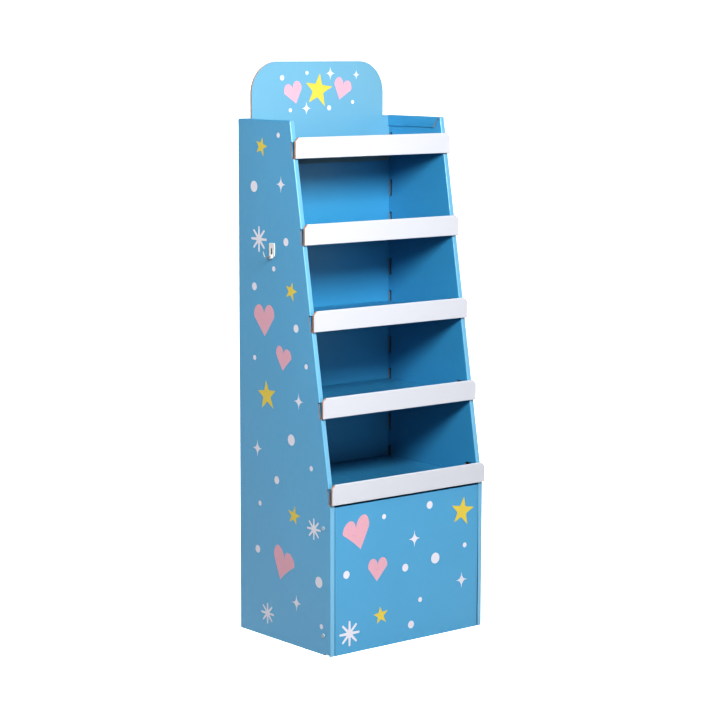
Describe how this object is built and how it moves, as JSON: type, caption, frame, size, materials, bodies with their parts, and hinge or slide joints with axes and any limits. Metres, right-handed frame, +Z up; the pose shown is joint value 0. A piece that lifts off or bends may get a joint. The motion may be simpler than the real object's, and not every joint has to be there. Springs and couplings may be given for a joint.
{
  "type": "cardboard display stand",
  "caption": "Free-standing corrugated cardboard display stand with leaning double side walls, white-lipped shelf trays, a closed plinth and a rounded header.",
  "frame": {"origin": "on the floor at the middle of the body's base, under the brace's front sheet", "axes": "+Z up, the open front with the shelf lips faces -Y, +X to the right seen from the front"},
  "size_m": [0.5318, 0.3791, 1.447],
  "materials": {
    "printed_board": "light blue print on corrugated board, satin varnish",
    "header_board": "light blue print on double-wall board, satin varnish",
    "tray_board": "white lips, light blue printed decks",
    "brace_board": "bare brown corrugated board",
    "white_plastic": "moulded white plastic",
    "hook_wire": "bright zinc-plated wire"
  },
  "bodies": {
    "root": {"body_wrap": "printed_board", "back_card": "header_board", "shelf_tray_1": "tray_board", "shelf_tray_2": "tray_board", "shelf_tray_3": "tray_board", "shelf_tray_4": "tray_board", "shelf_tray_5": "tray_board", "plinth_panel": "printed_board", "plinth_brace": "brace_board", "plinth_rivets": "white_plastic", "side_hook": "white_plastic", "hook_prong": "hook_wire"}
  },
  "joints": []
}
